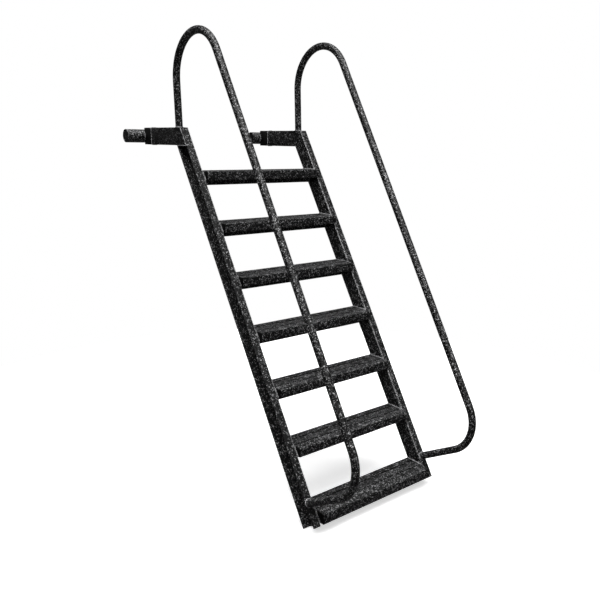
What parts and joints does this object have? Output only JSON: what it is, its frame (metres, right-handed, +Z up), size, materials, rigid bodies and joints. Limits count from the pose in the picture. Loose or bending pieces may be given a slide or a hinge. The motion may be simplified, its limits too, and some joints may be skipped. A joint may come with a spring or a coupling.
{
  "type": "boat boarding ladder",
  "caption": "Leaning boat boarding ladder with flat treads between channel stringers, looped handrails and two rear arms whose hinge sleeves turn on pivot shafts, so it swings up.",
  "frame": {"origin": "on the hinge axis, midway between the two arms", "axes": "+X along the hinge axis, from the left arm to the right arm as a climber faces the ladder; +Y towards the boat, away from the climber; +Z up"},
  "size_m": [0.8666, 1.5695, 1.9371],
  "materials": {
    "frame_coat": "black hammertone powder coat with fine light speckle",
    "rail_coat": "black hammertone powder coat with fine light speckle",
    "tread_coat": "black hammertone powder coat, grooved walking surface",
    "plate_coat": "smooth satin black",
    "block_coat": "smooth satin black with weld beads",
    "sleeve_coat": "glossy black with fine grain",
    "shaft_metal": "smooth black, satin end faces"
  },
  "bodies": {
    "pivot_shafts": {"pivot_shaft_left": "shaft_metal", "pivot_shaft_right": "shaft_metal"},
    "ladder": {"stringer_left": "frame_coat", "arm_left": "frame_coat", "arm_end_block_left": "block_coat", "hinge_sleeve_left": "sleeve_coat", "handrail_left": "rail_coat", "stringer_right": "frame_coat", "arm_right": "frame_coat", "arm_end_block_right": "block_coat", "hinge_sleeve_right": "sleeve_coat", "handrail_right": "rail_coat", "tread_pan_1": "tread_coat", "tread_nose_1": "tread_coat", "nose_end_plate_left_1": "plate_coat", "nose_end_plate_right_1": "plate_coat", "tread_pan_2": "tread_coat", "tread_nose_2": "tread_coat", "nose_end_plate_left_2": "plate_coat", "nose_end_plate_right_2": "plate_coat", "tread_pan_3": "tread_coat", "tread_nose_3": "tread_coat", "nose_end_plate_left_3": "plate_coat", "nose_end_plate_right_3": "plate_coat", "tread_pan_4": "tread_coat", "tread_nose_4": "tread_coat", "nose_end_plate_left_4": "plate_coat", "nose_end_plate_right_4": "plate_coat", "tread_pan_5": "tread_coat", "tread_nose_5": "tread_coat", "nose_end_plate_left_5": "plate_coat", "nose_end_plate_right_5": "plate_coat", "tread_pan_6": "tread_coat", "tread_nose_6": "tread_coat", "nose_end_plate_left_6": "plate_coat", "nose_end_plate_right_6": "plate_coat", "tread_pan_7": "tread_coat", "tread_nose_7": "tread_coat", "nose_end_plate_left_7": "plate_coat", "nose_end_plate_right_7": "plate_coat"}
  },
  "joints": [
    {"name": "swing_up", "type": "hinge", "parent": "pivot_shafts", "child": "ladder", "pos_m": [0, 0, 0], "axis": [-1, 0, 0], "range_deg": [0, 90]}
  ]
}
